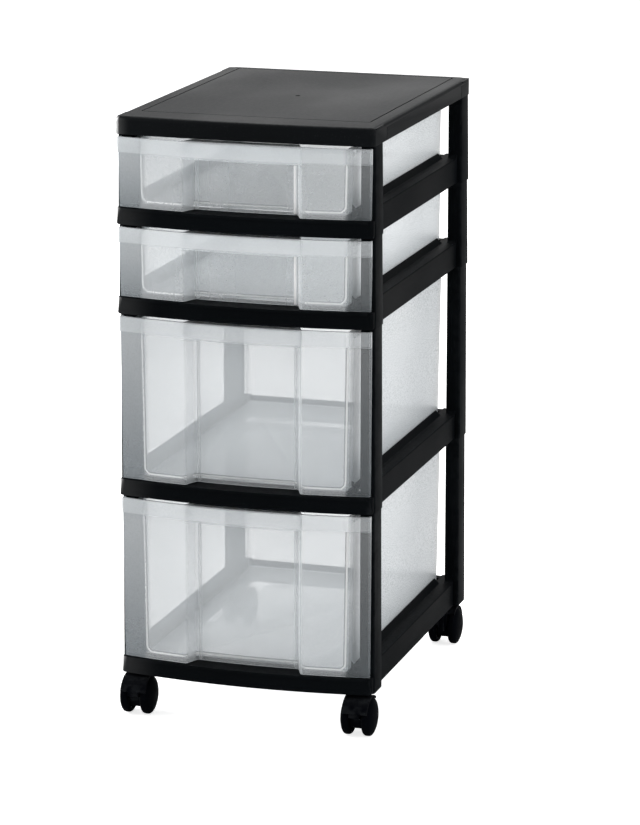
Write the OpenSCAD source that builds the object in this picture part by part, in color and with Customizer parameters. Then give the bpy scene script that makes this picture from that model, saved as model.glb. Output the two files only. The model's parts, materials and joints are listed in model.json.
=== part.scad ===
// Drawer tower on casters: four stacked tier frames with a lid, two deep and two shallow drawers.
// Millimetres, +Z up. X runs across the front, the front faces -Y.
// The origin lies on the floor, under the middle of the overall width and depth.

/* [Tower] */
// Overall width across the frames
tower_w = 260; // [230:1:330]
// Overall depth, from the crown of the bowed front to the back
tower_d = 355; // [300:1:420]
// How far the front rails and drawer fronts bow out at mid width
front_bow = 12; // [4:1:20]
// Height of a tier that holds a shallow drawer
shallow_tier_h = 88; // [75:1:140]
// Height of a tier that holds a deep drawer
deep_tier_h = 182; // [120:1:260]

/* [Lid] */
// Height of the lid
cap_h = 17.5; // [16:0.5:26]
// How far the lid's front edge bows out at mid width
cap_bow = 6; // [2:0.5:12]
// Radius of the lid's upper edge
cap_edge_r = 4.5; // [2:0.5:6]
// Radius of the lid's front corners, seen from above
cap_corner_r = 6; // [3:0.5:10]
// Radius of the lid's back corners, seen from above
cap_back_r = 11; // [3:0.5:14]
// Distance of the groove from the lid's sides
groove_side_inset = 14.5; // [10:0.5:30]
// Distance of the groove from the lid's back edge
groove_back_inset = 11; // [8:1:30]
// Distance of the groove from the lid's front corners
groove_front_inset = 35; // [15:1:60]
// Width of the groove
groove_w = 1.2; // [0.6:0.2:3]
// Depth of the groove
groove_depth = 0.8; // [0.4:0.1:1.5]
// Height of the ribs under the lid
cap_rib_h = 3.5; // [2:0.5:6]
// Width of the seams on the lid's sides, beside its corners
seam_w = 0.6; // [0.3:0.1:1.2]

/* [Tier frames] */
// Wall thickness of the frames and the lid
frame_wall = 2.5; // [2:0.1:3.2]
// Width of a post across the front
post_w = 15.5; // [13:0.5:22]
// Depth of a post along the side
post_d = 26.5; // [20:0.5:36]
// Distance of the posts' front faces behind the ends of the front rail
post_setback = 7; // [5.5:0.5:12]
// How far a post's outer faces lean in from its foot to its top
post_lean = 1; // [0.2:0.1:1.5]
// Radius of the posts' upright edges
post_edge_r = 1.8; // [0.6:0.2:2.4]
// Height of the plug on top of each post
plug_h = 12; // [6:0.5:13]
// Clearance between a plug and its socket
plug_gap = 0.25; // [0.15:0.05:0.4]
// Height of the front rail
front_rail_h = 16.5; // [12:0.5:18]
// Depth of the front rail behind the post fronts
front_rail_reach = 20; // [12:1:26]
// Height of the bead along the front rail's upper edge
bead_h = 2.6; // [1.5:0.1:4]
// How far the bead stands out from the front rail
bead_proud = 1.2; // [0.6:0.1:2]
// Height of the rear rail
rear_rail_h = 24; // [14:0.5:26]
// Depth of the rear rail's upper flange
rear_flange_w = 9; // [5:0.5:14]
// Distance of the side rails' outer faces inside the posts' outer faces
side_inset = 5.5; // [2:0.5:7]
// Height of a side rail's outer wall
side_rail_h = 25.5; // [24:0.5:32]
// Width of the flat ledge on top of a side rail
ledge_w = 13.3; // [9:0.1:16]
// Rise and run of the sloping lip inside the ledge
lip_size = 5.2; // [3:0.1:7]
// Height of the runner shelves above the ring's underside
runner_h = 20.5; // [18.5:0.5:22]
// Width of a runner shelf
runner_w = 10; // [6:0.5:16]
// Depth of a runner shelf's inner flange
runner_flange = 10; // [6:0.5:14]
// Radius of the cove between a side rail's ledge and the posts
cove_r = 7; // [3:0.5:10]
// Distance from the posts over which a lip turns outward at its ends
lip_turn = 9; // [4:0.5:14]
// Radius of the front rail's lower corners
rail_corner_r = 2.2; // [0.5:0.1:2.3]

/* [Drawers] */
// Wall thickness of the drawers
drawer_wall = 2; // [1.4:0.1:2.6]
// Clearance between a drawer's side and the lip of the side rail, each side
drawer_side_gap = 0.8; // [0.5:0.1:1.5]
// Running clearance between a drawer's floor and the runner shelves
run_gap = 0.3; // [0.2:0.05:0.5]
// Clearance between a drawer's rim and the ring above
drawer_top_gap = 2.7; // [2:0.1:5]
// Distance of a drawer's back, at its floor, from the back of the frame
drawer_back_gap = 17; // [16:0.5:60]
// Slope of the drawer's side and back walls, in degrees
drawer_draft = 0.8; // [0.2:0.1:1.2]
// Radius of the edge between floor and walls
floor_edge_r = 5; // [2.5:0.5:8]
// Radius of the drawer's upright back corners
back_corner_r = 8; // [5:0.5:24]
// Width of the rim around the top of the drawer
rim_w = 4; // [2:0.5:4.5]
// Depth of the lip that hangs from the rim's edge
rim_lip_h = 6; // [3:0.5:10]
// Distance of the drawer front's side edges inside the overall width
front_side_gap = 3.2; // [2.8:0.1:7]
// How much narrower the front is at its lower edge, each side
front_taper = 0.8; // [0.1:0.1:1]
// Clearance between the drawer front's lower edge and the front rail
front_floor_gap = 1; // [0.5:0.1:2]
// Clearance between the drawer front's side returns and the posts
front_post_gap = 0.6; // [0.4:0.1:1.5]
// Height of the band along the top of the drawer front
band_h = 15; // [10:0.5:20]
// How far the band stands out from the panel below
band_proud = 1.5; // [0.8:0.1:2]
// Distance of the band's surface behind the rail's bead
band_setback = 1; // [0.8:0.1:2]
// Width of the hand recess at the panel's surface
recess_w = 120; // [80:1:150]
// Width of the blend from the panel to the bottom of the recess
recess_blend = 9; // [8:0.5:20]
// Depth of the hand recess
recess_depth = 16; // [8:0.5:18]
// Distance of the stop feet from the drawer's back
stop_inset = 50; // [30:1:90]
// How far the grip part of the band hangs below the rest of it
grip_drop = 1.5; // [0.5:0.1:4]
// How far the grip part of the band stands out
grip_proud = 0.6; // [0.2:0.1:0.7]

/* [Casters] */
// Diameter of the wheels
wheel_d = 38; // [32:1:50]
// Width of a wheel over its dome
wheel_w = 11; // [8:0.5:14]
// Width of a wheel's flat tread
tread_w = 2.6; // [1.5:0.1:4]
// Radius between a wheel's tread and its inner face
wheel_edge_r = 2.8; // [1:0.1:3]
// Free width between the two wheels of a caster
wheel_spacing = 12.5; // [11:0.5:16]
// Clearance between a wheel and the housing web
wheel_side_gap = 0.75; // [0.4:0.05:1]
// Diameter of the axle
axle_d = 4; // [3:0.5:6]
// Running clearance of the axle in a wheel, on the radius
axle_gap = 0.05; // [0.02:0.01:0.1]
// Diameter of the stem
stem_d = 8; // [6:0.5:8.5]
// Running clearance of the stem in the housing, on the radius
stem_gap = 0.05; // [0.02:0.01:0.1]
// Clearance of the stem in the frame's socket, on the radius
socket_gap = 0.2; // [0.1:0.05:0.4]
// How deep the stem goes into the frame
stem_insert = 22; // [16:1:23]
// Diameter of the collar on the stem
collar_d = 13; // [11:0.5:15]
// Horizontal distance from the stem to the axle
trail = 13; // [10:0.5:16]
// Free height between the housing and the frame
swivel_gap = 2.5; // [2:0.1:4]
// Wall thickness of the hood
hood_wall = 1.9; // [1.4:0.1:3]
// Clearance between the hood and the wheels' treads
hood_gap = 0.6; // [0.4:0.1:1.2]
// Width of the hood over the wheels
hood_w = 26; // [20:0.5:30]
// Free height between the housing web and the floor
web_clear = 6.5; // [4:0.5:9]
// Distance of the stems inside the overall width
stem_side = 15.5; // [15.5:0.5:22]
// Distance of the front stems behind the posts' front faces
stem_front = 14.5; // [12:0.5:24]
// Distance of the rear stems from the back
stem_back = 32; // [28:0.5:45]

/* [Hidden] */

$fn = 48;

// Levels of the stack
hood_top = wheel_d + hood_gap + hood_wall;
base_z = hood_top + swivel_gap;
lower_z = base_z + deep_tier_h;
upper_z = lower_z + deep_tier_h;
top_z = upper_z + shallow_tier_h;
cap_z = top_z + shallow_tier_h;

// Plan of the frames
half_w = tower_w / 2;
back_y = tower_d / 2;
crown_y = -tower_d / 2;
rail_end_y = crown_y + front_bow;
post_front_y = rail_end_y + post_setback;
post_in_x = half_w - post_w;
rail_half = half_w - 1;
front_posts_back_y = post_front_y + post_d;
rear_posts_front_y = back_y - post_d;

// Section of the side rails
rail_x = half_w - side_inset;
lip_foot_x = rail_x - ledge_w;
lip_x = lip_foot_x - lip_size;
runner_x = lip_x - runner_w;
lip_top = side_rail_h + lip_size;

// Drawers, measured from the underside of the drawer's tier
floor_z = runner_h + run_gap;
floor_half = lip_x - drawer_side_gap;
tub_back_y = back_y - drawer_back_gap;
front_half = half_w - front_side_gap;
front_bottom = front_rail_h + front_floor_gap;
recess_spread = 0.6;
stop_hold = 2;

// Casters
caster_x = half_w - stem_side;
front_stem_y = post_front_y + stem_front;
rear_stem_y = back_y - stem_back;
wheel_r = wheel_d / 2;
web_w = wheel_spacing - 2 * wheel_side_gap;
stem_foot = wheel_r + 4;
ring_groove_d = stem_d - 1.4;
ring_h = 3;

FRAME_BLACK = [0.07, 0.075, 0.08];
DRAWER_CLEAR = [0.85, 0.88, 0.9, 0.5];
CASTER_BLACK = [0.05, 0.05, 0.06];
STEEL = [0.7, 0.7, 0.72];

// ---- Outlines -------------------------------------------------------------------------------

// Points of an arc about [cx, cy], from angle a0 to a1 in n steps
function arc(cx, cy, r, a0, a1, n) =
    [for (i = [0 : n]) let (a = a0 + (a1 - a0) * i / n) [cx + r * cos(a), cy + r * sin(a)]];

// Corners of the rectangle x0..x1, y0..y1, each rounded with radius r in n steps
function round_rect(x0, y0, x1, y1, r, n) = concat(
    arc(x1 - r, y1 - r, r, 0, 90, n), arc(x0 + r, y1 - r, r, 90, 180, n),
    arc(x0 + r, y0 + r, r, 180, 270, n), arc(x1 - r, y0 + r, r, 270, 360, n));

// Front line that bows out by `bow` over the half width `half`, with its crown at y = crown
function bow_y(x, crown, bow, half) = crown + bow * pow(x / half, 2);

// 1 in the middle of the hand recess, 0 outside it, with a smooth blend between
function recess_share(x, depth) =
    let (t = (recess_w / 2 + recess_spread * depth - abs(x)) / recess_blend, u = min(1, max(0, t)))
    u * u * (3 - 2 * u);

// Surfaces of the drawer front: the band at the top, and the panel with its recess. `depth` goes
// into the wall, and the recess gets wider with it, so that its steep sides keep their thickness
function band_y(x) = bow_y(x, crown_y + band_setback, front_bow, rail_half);
function panel_y(x, depth = 0) = band_y(x) + band_proud + recess_depth * recess_share(x, depth) + depth;

// Places across the drawer front where its line is sampled, close together in the blends
function front_xs(half, depth = 0) =
    let (a = recess_w / 2 + recess_spread * depth, b = a - recess_blend,
         right = concat([0, b / 3, 2 * b / 3], [for (i = [0 : 10]) b + (a - b) * i / 10],
                        [for (i = [1 : 5]) a + (half - a) * i / 5]))
    concat([for (i = [len(right) - 1 : -1 : 1]) -right[i]], right);

// Solid through a stack of outlines [points, z], all with the same number of points
module loft(outlines) {
    n = len(outlines[0][0]);
    m = len(outlines);
    points = [for (o = outlines) for (p = o[0]) [p[0], p[1], o[1]]];
    sides = [for (k = [0 : m - 2]) for (i = [0 : n - 1])
        let (j = (i + 1) % n) [k * n + i, (k + 1) * n + i, (k + 1) * n + j, k * n + j]];
    polyhedron(points, concat([[for (i = [0 : n - 1]) i]], sides,
                              [[for (i = [n - 1 : -1 : 0]) (m - 1) * n + i]]), convexity = 8);
}

// ---- Tier frames ----------------------------------------------------------------------------

// Outline of a post at one level: `lean` is how far its outer faces have come in, `inset` the wall
function post_outline(side, is_front, lean, inset) =
    let (x0 = post_in_x + inset, x1 = half_w - lean - inset,
         y0 = (is_front ? post_front_y + lean : rear_posts_front_y) + inset,
         y1 = (is_front ? front_posts_back_y : back_y - lean) - inset,
         r = max(0.4, post_edge_r - inset * 0.5),
         pts = round_rect(x0, y0, x1, y1, r, 3))
    side > 0 ? pts : [for (i = [len(pts) - 1 : -1 : 0]) [-pts[i][0], pts[i][1]]];

module each_post() {
    for (side = [-1, 1]) for (is_front = [true, false]) {
        $side = side;
        $is_front = is_front;
        children();
    }
}

module post_body(h) {
    loft([[post_outline($side, $is_front, 0, 0), 0], [post_outline($side, $is_front, post_lean, 0), h]]);
}

// Core of a post, open at its foot
module post_core(h) {
    loft([[post_outline($side, $is_front, 0, frame_wall), -1],
          [post_outline($side, $is_front, post_lean, frame_wall), h - frame_wall]]);
}

// Plug on top of a post, which fits the core of the post above
module post_plug(h) {
    inset = frame_wall + plug_gap;
    loft([[post_outline($side, $is_front, 0, inset), h - frame_wall / 2],
          [post_outline($side, $is_front, 0, inset), h + plug_h - 1],
          [post_outline($side, $is_front, 0, inset + 1), h + plug_h]]);
}

// Section of a side rail as [x, z]: outer wall, ledge, sloping lip, runner shelf and its flange
function side_rail_section() =
    let (t = frame_wall, edge = 0.8)
    [[rail_x, 0], [rail_x, side_rail_h - edge], [rail_x - edge, side_rail_h],
     [lip_foot_x, side_rail_h], [lip_x + edge, lip_top], [lip_x, lip_top], [lip_x, runner_h],
     [runner_x, runner_h], [runner_x, runner_h - t - runner_flange],
     [runner_x + t, runner_h - t - runner_flange], [runner_x + t, runner_h - t],
     [lip_x + t, runner_h - t], [lip_x + t, lip_top - t - edge], [lip_foot_x - 1, side_rail_h - t],
     [rail_x - t, side_rail_h - t], [rail_x - t, 0]];

module side_rail(side) {
    y0 = post_front_y + frame_wall / 2;
    y1 = back_y - post_lean - frame_wall / 2;
    pts = [for (p = side_rail_section()) [side * p[0], p[1]]];
    translate([0, y1, 0]) rotate([90, 0, 0]) linear_extrude(y1 - y0) polygon(pts);
}

// Cove between the ledge of a side rail and the posts at both ends of it
module side_rail_coves(side) {
    x0 = post_in_x + frame_wall / 2;
    profile = concat([[-frame_wall / 2, -1], [-frame_wall / 2, cove_r]],
                     arc(cove_r, cove_r, cove_r, 180, 270, 6),
                     [[cove_r, -1]]);
    for (end = [0, 1])
        translate([side > 0 ? x0 : -rail_x, end == 0 ? front_posts_back_y : rear_posts_front_y,
                   side_rail_h])
            mirror([0, end, 0]) rotate([90, 0, 90]) linear_extrude(rail_x - x0) polygon(profile);
}

// Ends of a side rail's lip: it turns outward to the posts with a round corner. `solid` gives the
// massive piece below the turn, otherwise the space above the ledge that the turn leaves free
module lip_end(side, solid) {
    reach = post_d - frame_wall;
    turn = concat([[lip_x - 1, -lip_turn]], arc(lip_x, 0, lip_turn, -90, -10, 6),
                  [[post_in_x + 1, -1], [post_in_x + 1, reach + 1], [lip_x - 1, reach + 1]]);
    mass = [[lip_x, runner_h], [lip_foot_x, runner_h], [lip_foot_x, side_rail_h], [lip_x + 0.8, lip_top],
            [lip_x, lip_top]];
    for (end = [0, 1])
        translate([0, end == 0 ? front_posts_back_y : rear_posts_front_y, 0])
            mirror([side > 0 ? 0 : 1, 0, 0])
            mirror([0, 1 - end, 0])
                if (solid)
                    translate([0, reach, 0]) rotate([90, 0, 0]) linear_extrude(reach + lip_turn + 4)
                        polygon(mass);
                else
                    translate([0, 0, side_rail_h]) linear_extrude(lip_size + 1) polygon(turn);
}

// Rounds the lower corners at the ends of the front rail
module rail_corner(side) {
    r = rail_corner_r;
    profile = concat([[1, -1], [-r, -1]], arc(-r, r, r, -90, 0, 5), [[1, r]]);
    translate([side * rail_half, post_front_y - 0.5, 0]) mirror([side > 0 ? 0 : 1, 0, 0])
        rotate([90, 0, 0]) linear_extrude(front_bow + post_setback + 4) polygon(profile);
}

// Plan of the front rail. `inset` shrinks it, for the pocket below
function front_rail_plan(inset) =
    let (half = rail_half - inset, n = 16,
         step_y = post_front_y + frame_wall / 2 - inset, in_x = post_in_x + frame_wall / 2 - inset,
         reach_y = post_front_y + front_rail_reach - inset)
    concat([for (i = [0 : n]) let (x = -half + 2 * half * i / n)
                [x, bow_y(x, crown_y + bead_proud + inset, front_bow, rail_half)]],
           [[half, step_y], [in_x, step_y], [in_x, reach_y], [-in_x, reach_y], [-in_x, step_y],
            [-half, step_y]]);

module front_rail() {
    difference() {
        linear_extrude(front_rail_h) polygon(front_rail_plan(0));
        translate([0, 0, -1]) linear_extrude(front_rail_h - frame_wall + 1)
            polygon(front_rail_plan(frame_wall));
    }
    front_bead();
}

// Bead along the upper edge of the front rail
module front_bead() {
    half = rail_half - 5;
    n = 16;
    line = [for (i = [0 : n]) -half + 2 * half * i / n];
    front = [for (x = line) [x, bow_y(x, crown_y, front_bow, rail_half)]];
    back = [for (i = [n : -1 : 0])
        [line[i], bow_y(line[i], crown_y + bead_proud + 1, front_bow, rail_half)]];
    translate([0, 0, front_rail_h - bead_h]) linear_extrude(bead_h) polygon(concat(front, back));
}

module rear_rail() {
    y1 = back_y - post_lean;
    y0 = y1 - rear_flange_w;
    t = frame_wall;
    half = post_in_x + t / 2;
    pts = [[y1, 0], [y1, rear_rail_h], [y0, rear_rail_h], [y0, rear_rail_h - t],
           [y1 - t, rear_rail_h - t], [y1 - t, 0]];
    translate([-half, 0, 0]) rotate([90, 0, 90]) linear_extrude(2 * half) polygon(pts);
}

// One tier: a ring with four posts. The plugs on top go into the tier above
module tier_frame(z, h) {
    color(FRAME_BLACK) translate([0, 0, z]) {
        difference() {
            union() {
                each_post() post_body(h);
                for (side = [-1, 1]) {
                    difference() {
                        union() {
                            side_rail(side);
                            lip_end(side, true);
                        }
                        lip_end(side, false);
                    }
                    side_rail_coves(side);
                }
                front_rail();
                rear_rail();
            }
            each_post() post_core(h);
            rail_corner(-1);
            rail_corner(1);
        }
        each_post() post_plug(h);
    }
}

// Upright bosses under the base that take the caster stems
module stem_bosses() {
    boss_r = stem_d / 2 + socket_gap + 3;
    for (side = [-1, 1]) for (y = [front_stem_y, rear_stem_y])
        translate([side * caster_x, y, 0]) cylinder(r = boss_r, h = stem_insert + 1.5);
}

module stem_sockets() {
    for (side = [-1, 1]) for (y = [front_stem_y, rear_stem_y])
        translate([side * caster_x, y, -1]) cylinder(r = stem_d / 2 + socket_gap, h = stem_insert + 1);
}

module base_tier_frame() {
    color(FRAME_BLACK) difference() {
        union() {
            tier_frame(base_z, deep_tier_h);
            translate([0, 0, base_z]) stem_bosses();
        }
        translate([0, 0, base_z]) stem_sockets();
    }
}

// ---- Lid ------------------------------------------------------------------------------------

// Outline of the lid, brought in by `inset` all round
function cap_outline(inset) =
    let (half = half_w - inset, r = max(0.8, cap_corner_r - inset), q = max(0.8, cap_back_r - inset),
         n = 16,
         back = back_y - inset, edge = half - r, front = rail_end_y + inset)
    concat([for (i = [0 : n]) let (x = -edge + 2 * edge * i / n)
                [x, front - cap_bow * (1 - pow(x / edge, 2))]],
           arc(edge, front + r, r, -80, 0, 5), arc(half - q, back - q, q, 0, 90, 6),
           arc(q - half, back - q, q, 90, 180, 6), arc(-edge, front + r, r, 180, 260, 5));

module cap_shell() {
    r = cap_edge_r;
    rounds = [for (a = [0 : 22.5 : 90]) [cap_outline(r * (1 - cos(a))), cap_h - r + r * sin(a)]];
    difference() {
        loft(concat([[cap_outline(0), 0]], rounds));
        translate([0, 0, -1]) linear_extrude(cap_h - frame_wall + 1) polygon(cap_outline(frame_wall));
    }
}

// Thin groove that frames the lid's flat field
module cap_groove() {
    x = half_w - groove_side_inset;
    y0 = rail_end_y + groove_front_inset;
    y1 = back_y - groove_back_inset;
    translate([0, 0, cap_h - groove_depth]) linear_extrude(groove_depth + 1) difference() {
        polygon(round_rect(-x, y0, x, y1, 3, 3));
        polygon(round_rect(-x + groove_w, y0 + groove_w, x - groove_w, y1 - groove_w, 3 - groove_w / 2, 3));
    }
}

// Upright seams on the lid's sides, and the gate mark in the middle of its top
module cap_marks() {
    for (side = [-1, 1]) for (y = [front_posts_back_y + 8, rear_posts_front_y - 6])
        translate([side * half_w - seam_w / 2, y, -1]) cube([seam_w, seam_w, cap_h - cap_edge_r + 1]);
    translate([0, (rail_end_y + back_y) / 2, cap_h - 0.5]) cylinder(d = 5, h = 1);
}

// Ribs under the lid, along and across
module cap_ribs() {
    rib = 1.6;
    rib_h = cap_rib_h;
    span_x = half_w - frame_wall / 2;
    y0 = rail_end_y + frame_wall / 2;
    y1 = back_y - frame_wall / 2;
    for (x = [-0.5, 0, 0.5])
        translate([x * half_w - rib / 2, y0, cap_h - frame_wall - rib_h]) cube([rib, y1 - y0, rib_h + 1]);
    for (k = [1 : 3])
        translate([-span_x, y0 + (y1 - y0) * k / 4 - rib / 2, cap_h - frame_wall - rib_h])
            cube([2 * span_x, rib, rib_h + 1]);
}

module top_cap() {
    color(FRAME_BLACK) translate([0, 0, cap_z]) difference() {
        union() {
            cap_shell();
            cap_ribs();
            each_post() loft([[post_outline($side, $is_front, 0.3, 0), 0],
                              [post_outline($side, $is_front, 0.3, 0), cap_h - 1]]);
        }
        each_post() loft([[post_outline($side, $is_front, 0, frame_wall), -1],
                          [post_outline($side, $is_front, 0, frame_wall), cap_h - frame_wall]]);
        cap_groove();
        cap_marks();
    }
}

// ---- Drawers --------------------------------------------------------------------------------

// How far the walls have leaned out at the top of a drawer of height `h`
function top_lean(h) = min(h * tan(drawer_draft), max(0.2, post_in_x - 1.5 - floor_half));

// Outline of the drawer's tub without its recess. `inset` brings it in from all sides, `out` widens
// its sides and back, and `depth` is how far its front lies inside the front plate
function tub_outline(inset, out, depth) =
    let (half = floor_half + out - inset, back = tub_back_y + out - inset,
         r = max(1, back_corner_r - inset),
         front = band_proud + depth)
    concat([for (i = [0 : 12]) let (x = half * (i / 6 - 1)) [x, band_y(x) + front]],
           arc(half - r, back - r, r, 0, 90, 6), arc(-half + r, back - r, r, 90, 180, 6));

// Block that fills the hand recess up to `depth` inside the front plate
module recess_block(bottom, top, depth) {
    translate([0, 0, bottom]) linear_extrude(top - bottom)
        polygon(front_strip(recess_w / 2 + 4, function(x) band_y(x) - 1,
                            function(x) panel_y(x, depth), depth));
}

// Tub with rounded floor edges and leaning walls, from `floor` up to `top`
module tub(floor, top, inset, depth) {
    r = max(1, floor_edge_r - inset);
    lean = top_lean(top - floor) / (top - floor);
    rounds = [for (a = [0 : 30 : 90]) let (z = r * (1 - cos(a)), in = r * (1 - sin(a)))
        [tub_outline(inset + in, z * lean, depth + in), floor + z]];
    difference() {
        loft(concat(rounds, [[tub_outline(inset, (top - floor) * lean, depth), top]]));
        recess_block(floor - 1, top + 1, depth - 0.1 * drawer_wall);
    }
}

// Strip that follows the drawer front between two depth lines over the half width `half`.
// `depth` says where in the wall the recess line is sampled
function front_strip(half, front, back, depth = 0) =
    let (xs = front_xs(half, depth), n = len(xs))
    concat([for (x = xs) [x, front(x)]], [for (i = [n - 1 : -1 : 0]) [xs[i], back(xs[i])]]);

// Plate of the drawer front, with its recess, and returns along its outer edges
module front_plate(bottom, top) {
    t = drawer_wall;
    return_y = post_front_y - front_post_gap;
    front = [for (x = front_xs(front_half)) [x, panel_y(x)]];
    inside = front_xs(front_half - t, t);
    n = len(inside);
    back = [for (i = [n - 1 : -1 : 0]) [inside[i], panel_y(inside[i], t)]];
    translate([0, 0, bottom]) linear_extrude(top - bottom)
        polygon(concat(front, [[front_half, return_y], [front_half - t, return_y]], back,
                       [[t - front_half, return_y], [-front_half, return_y]]));
}

// Wedge that makes the front narrower towards its lower edge
module front_wedge(side, bottom, top) {
    profile = [[front_half - front_taper, bottom - 0.5], [front_half, top - band_h - 2],
               [front_half + 5, top - band_h - 2],
               [front_half + 5, bottom - 0.5]];
    translate([0, post_front_y, 0]) mirror([side > 0 ? 0 : 1, 0, 0])
        rotate([90, 0, 0]) linear_extrude(front_bow + post_setback + 4) polygon(profile);
}

// Band along the top of the front: a ledge on both wings, and a grip that bridges the recess
module front_band(top) {
    half = front_half + 0.4;
    grip_half = recess_w / 2;
    mid_wall = drawer_wall / 2;
    wing = [for (i = [0 : 4]) grip_half + (half - grip_half) * i / 4];
    for (side = [-1, 1])
        translate([0, 0, top - band_h]) linear_extrude(band_h)
            polygon(concat([for (x = wing) [side * x, band_y(x)]],
                           [for (i = [4 : -1 : 0]) [side * wing[i], panel_y(wing[i]) + mid_wall]]));
    translate([0, 0, top - band_h - grip_drop]) linear_extrude(band_h + grip_drop)
        polygon(front_strip(grip_half + 1, function(x) band_y(x) - grip_proud,
                            function(x) band_y(x) + drawer_wall));
    translate([0, 0, top - drawer_wall]) linear_extrude(drawer_wall)
        polygon(front_strip(grip_half + 1, function(x) band_y(x) + mid_wall,
                            function(x) panel_y(x) + mid_wall));
}

// Rim around the sides and the back, with a hanging lip
module tub_rim(floor, top) {
    lean = top_lean(top - floor);
    half = min(floor_half + lean + rim_w, post_in_x - 1);
    back = tub_back_y + lean + rim_w;
    y0 = panel_y(floor_half) + 1;
    t = drawer_wall;
    r = back_corner_r + rim_w;
    outer = concat([[-half, y0], [half, y0]], arc(half - r, back - r, r, 0, 90, 6),
                   arc(r - half, back - r, r, 90, 180, 6));
    inner = concat([[t - half, y0 - 1], [half - t, y0 - 1]], arc(half - r, back - r, r - t, 0, 90, 6),
                   arc(r - half, back - r, r - t, 90, 180, 6));
    translate([0, 0, top - t]) linear_extrude(t) polygon(outer);
    translate([0, 0, top - rim_lip_h]) linear_extrude(rim_lip_h) difference() {
        polygon(outer);
        polygon(inner);
    }
}

// Feet under the floor that meet the back of the front rail when the drawer is pulled right out
module stop_feet() {
    foot_w = 20;
    foot_d = 3;
    low = front_rail_h - stop_hold;
    for (side = [-1, 1])
        translate([side * floor_half / 2 - foot_w / 2, tub_back_y - stop_inset, low])
            cube([foot_w, foot_d, floor_z + drawer_wall / 2 - low]);
}

module drawer(z, h) {
    top = h - drawer_top_gap;
    color(DRAWER_CLEAR) translate([0, 0, z]) difference() {
        union() {
            tub(floor_z, top, 0, drawer_wall / 2);
            front_plate(front_bottom, top);
            front_band(top);
            tub_rim(floor_z, top);
            stop_feet();
        }
        tub(floor_z + drawer_wall, top + 1, drawer_wall, 0.9 * drawer_wall);
        front_wedge(-1, front_bottom, top);
        front_wedge(1, front_bottom, top);
    }
}

// ---- Casters --------------------------------------------------------------------------------

// Moves to a caster's stem; `side` is -1 for left, `is_front` turns the wheels to the front
module at_caster(side, is_front) {
    translate([side * caster_x, is_front ? front_stem_y : rear_stem_y, 0])
        mirror([0, is_front ? 1 : 0, 0]) children();
}

module caster_stem(side, is_front) {
    r = stem_d / 2;
    foot = stem_foot;
    top = base_z + stem_insert - 1;
    groove = ring_groove_d / 2;
    ring_z = top - 3 - ring_h;
    collar_bottom = hood_top + 0.4;
    color(STEEL) at_caster(side, is_front) rotate_extrude()
        polygon([[0, foot], [r - 0.6, foot], [r, foot + 0.6], [r, collar_bottom],
                 [collar_d / 2, collar_bottom], [collar_d / 2, base_z], [r, base_z],
                 [r, ring_z], [groove, ring_z], [groove, ring_z + ring_h],
                 [r, ring_z + ring_h], [r, top - 1], [r - 1, top], [0, top]]);
}

// Split ring that grips the socket's wall
module caster_grip_ring(side, is_front) {
    top = base_z + stem_insert - 1;
    slit = 1.5;
    color(STEEL) at_caster(side, is_front) translate([0, 0, top - 3 - ring_h + 0.2]) difference() {
        cylinder(r = stem_d / 2 + socket_gap, h = ring_h - 0.4);
        translate([0, 0, -1]) cylinder(r = ring_groove_d / 2 + 0.05, h = ring_h + 2);
        translate([-slit / 2, 0, -1]) cube([slit, stem_d, ring_h + 2]);
    }
}

// Web between the wheels, with the stem's boss and a hood over the treads
module caster_housing(side, is_front) {
    web_r = wheel_r - web_clear;
    in_r = wheel_r + hood_gap;
    out_r = in_r + hood_wall;
    boss_r = web_w / 2;
    color(CASTER_BLACK) at_caster(side, is_front) difference() {
        union() {
            translate([-web_w / 2, trail, wheel_r]) rotate([90, 0, 90]) linear_extrude(web_w)
                polygon(concat(arc(0, 0, web_r, 150, 360, 16), arc(0, 0, in_r + 0.5, 10, 100, 10),
                               [[-trail - boss_r + 1, 17], [-trail - boss_r + 1, 4]]));
            cylinder_boss(boss_r);
            translate([-hood_w / 2, trail, wheel_r]) rotate([90, 0, 90]) linear_extrude(hood_w)
                polygon(concat(arc(0, 0, out_r, 20, 130, 14), arc(0, 0, in_r, 130, 20, 14)));
        }
        translate([0, 0, stem_foot - 1]) cylinder(r = stem_d / 2 + stem_gap, h = wheel_d);
        translate([-wheel_d, trail, wheel_r]) rotate([0, 90, 0]) cylinder(r = axle_d / 2, h = 2 * wheel_d);
    }
}

module cylinder_boss(r) {
    translate([0, 0, wheel_r - 2]) cylinder(r = r, h = hood_top - wheel_r + 2);
}

module caster_axle(side, is_front) {
    len = wheel_spacing + 2 * (wheel_w - 2.5);
    color(STEEL) at_caster(side, is_front)
        translate([-len / 2, trail, wheel_r]) rotate([0, 90, 0]) cylinder(r = axle_d / 2, h = len);
}

// Domed wheel with a hollow inner face and a blind bore; `out` is 1 for the tower's outer side
module caster_wheel(side, is_front, out) {
    bore = axle_d / 2 + axle_gap;
    hub_r = axle_d / 2 + 3;
    edge = wheel_edge_r;
    rim_r = wheel_r - edge - 1.5;
    tread = edge + tread_w;
    dome = [for (i = [0 : 9]) let (a = 90 * i / 9) [wheel_r * cos(a), tread + (wheel_w - tread) * sin(a)]];
    color(CASTER_BLACK) at_caster(side, is_front) translate([0, trail, wheel_r])
        rotate([0, side * out * 90, 0]) translate([0, 0, wheel_spacing / 2]) rotate_extrude()
            polygon(concat([[bore, 0], [hub_r, 0], [hub_r, 4], [rim_r, 4], [rim_r, 0]],
                           arc(wheel_r - edge, edge, edge, -90, 0, 5), dome,
                            [[0, wheel_w - 2], [bore, wheel_w - 2]]));
}

// ---- Assembly -------------------------------------------------------------------------------

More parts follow.
